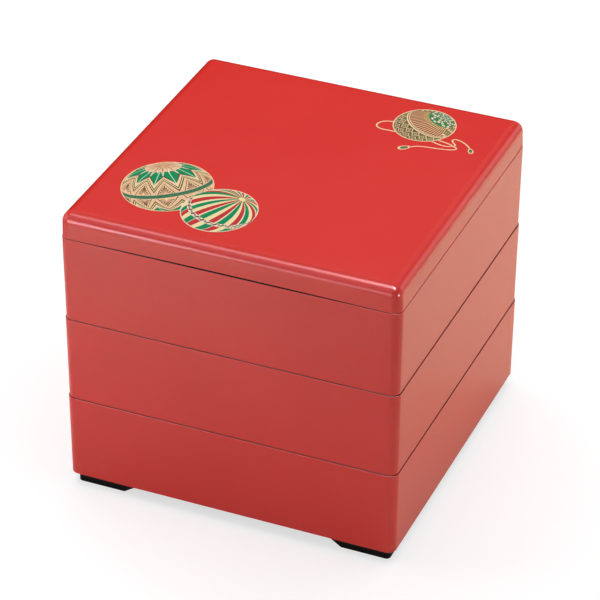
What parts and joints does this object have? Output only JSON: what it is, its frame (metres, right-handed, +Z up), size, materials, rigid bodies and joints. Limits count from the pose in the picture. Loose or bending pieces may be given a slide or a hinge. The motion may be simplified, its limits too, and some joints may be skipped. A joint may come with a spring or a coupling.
{
  "type": "stacking jubako box",
  "caption": "Square stacking food box in vermilion lacquer: open tiers that nest rim to base, a flush lid with a rounded edge and low black corner feet.",
  "frame": {"origin": "on the table, below the middle of the box", "axes": "+Z up, front face towards -Y, +X to the right seen from the front"},
  "size_m": [0.196, 0.196, 0.177],
  "materials": {
    "lid_lacquer": "gloss",
    "tier_lacquer": "gloss",
    "black_lacquer": "gloss",
    "gold_print": "satin",
    "cream_print": "satin",
    "green_print": "satin",
    "red_print": "satin"
  },
  "bodies": {
    "lower": {"lower_tier": "tier_lacquer", "foot_front_left": "black_lacquer", "foot_front_right": "black_lacquer", "foot_back_left": "black_lacquer", "foot_back_right": "black_lacquer"},
    "middle": {"middle_tier": "tier_lacquer"},
    "upper": {"upper_tier": "tier_lacquer"},
    "lid": {"lid": "lid_lacquer"}
  },
  "joints": [
    {"name": "middle_tier_lift", "type": "slide", "parent": "lower", "child": "middle", "axis": [0, 0, 1], "range_m": [0, 0.1]},
    {"name": "upper_tier_lift", "type": "slide", "parent": "middle", "child": "upper", "axis": [0, 0, 1], "range_m": [0, 0.1]},
    {"name": "lid_lift", "type": "slide", "parent": "upper", "child": "lid", "axis": [0, 0, 1], "range_m": [0, 0.1]}
  ]
}
